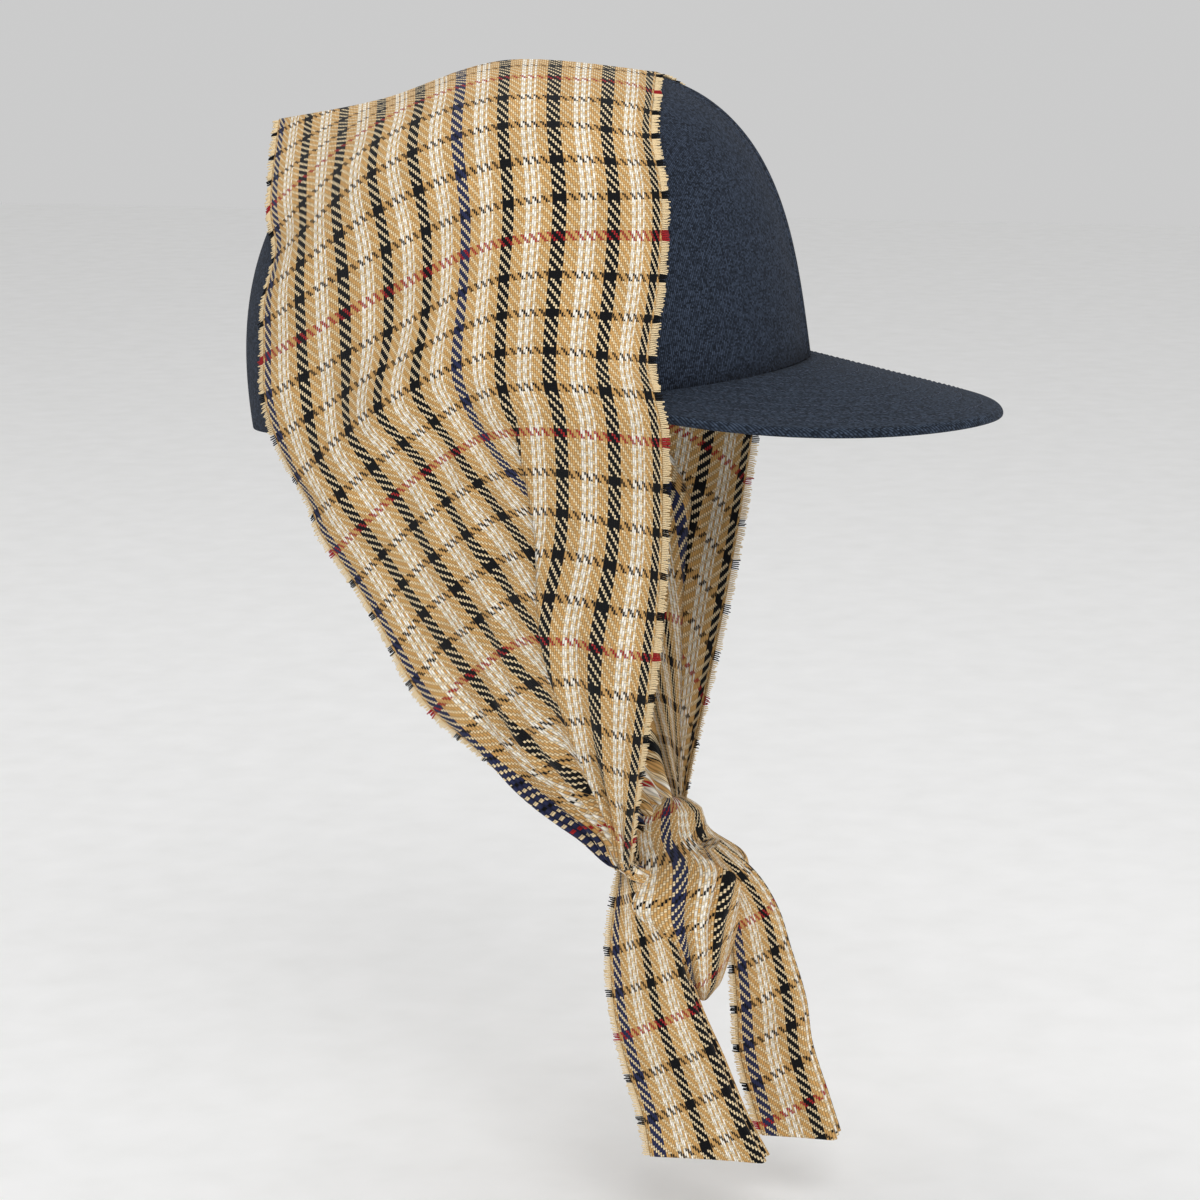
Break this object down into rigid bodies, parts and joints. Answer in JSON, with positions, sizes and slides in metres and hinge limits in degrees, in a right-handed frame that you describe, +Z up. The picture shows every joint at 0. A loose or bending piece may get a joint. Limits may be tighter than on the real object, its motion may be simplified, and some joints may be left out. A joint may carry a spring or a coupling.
{
  "type": "flat-brim cap with a tied check head scarf",
  "caption": "Navy fitted cap with a flat visor under a camel check flannel scarf, draped ear to ear over the crown and half-knotted under the chin.",
  "frame": {"origin": "centre of the head opening, in the plane of the crown's lower edge", "axes": "+Z up through the crown, -Y the way the wearer looks, +X to the wearer's left"},
  "size_m": [0.1942, 0.272, 0.3962],
  "materials": {
    "navy_twill": "matt wool-blend twill with a fine upright rib",
    "navy_brim": "matt twill over stiff board, with rows of stitches",
    "black_cotton": "matt brushed cotton",
    "check_flannel": "soft brushed wool twill, frayed raw edges"
  },
  "bodies": {
    "root": {"crown_front_right": "navy_twill", "crown_front_left": "navy_twill", "crown_side_right": "navy_twill", "crown_side_left": "navy_twill", "crown_back_right": "navy_twill", "crown_back_left": "navy_twill", "top_button": "navy_twill", "brim": "navy_brim", "sweatband": "black_cotton", "scarf_drape": "check_flannel", "scarf_knot": "check_flannel", "scarf_tail_right": "check_flannel", "scarf_tail_left": "check_flannel"}
  },
  "joints": []
}
